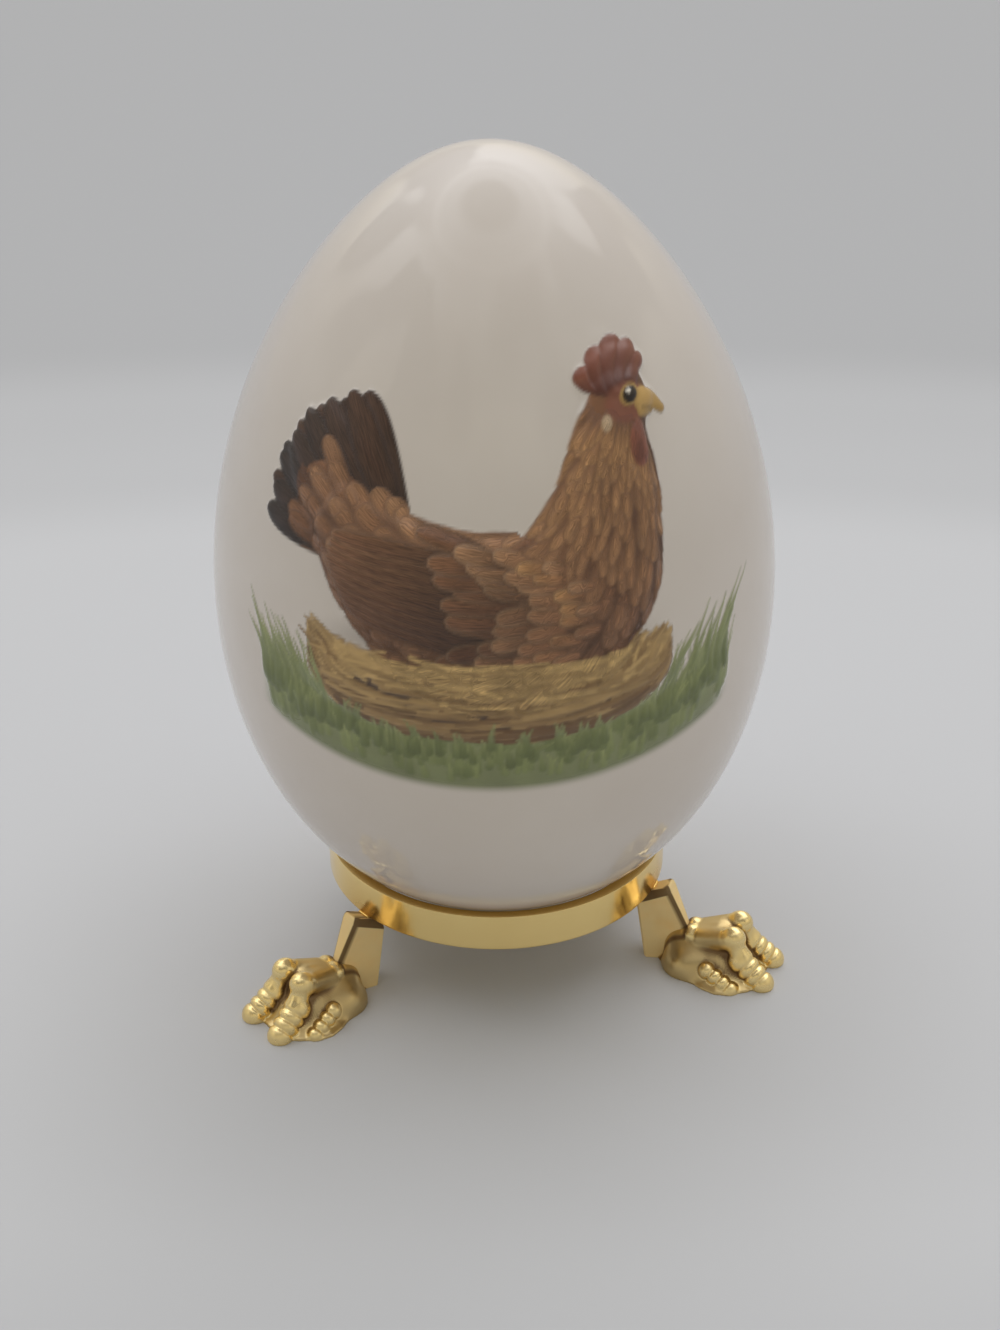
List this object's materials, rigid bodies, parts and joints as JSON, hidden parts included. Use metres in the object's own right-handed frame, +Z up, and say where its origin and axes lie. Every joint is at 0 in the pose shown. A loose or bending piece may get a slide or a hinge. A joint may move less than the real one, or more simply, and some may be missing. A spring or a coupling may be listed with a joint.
{
  "type": "porcelain easter egg on stand",
  "caption": "Glazed hollow porcelain egg that rests loose, blunt end down, in a gilt ring stand carried by leaning legs with cast paw feet.",
  "frame": {"origin": "middle of the box around the whole object, on the table that the paws stand on", "axes": "+Z up along the egg, -Y towards the decorated front, +X to the viewer's right"},
  "size_m": [0.0668, 0.068, 0.097],
  "materials": {
    "porcelain": "gloss glaze over white porcelain",
    "gilt": "polished gold plate"
  },
  "bodies": {
    "stand": {"stand_ring": "gilt", "left_leg": "gilt", "left_paw": "gilt", "right_leg": "gilt", "right_paw": "gilt", "rear_leg": "gilt", "rear_paw": "gilt"},
    "egg": {"egg_shell": "porcelain"}
  },
  "joints": [
    {"name": "egg_lift", "type": "slide", "parent": "stand", "child": "egg", "axis": [0, 0, 1], "range_m": [0, 0.04]}
  ]
}
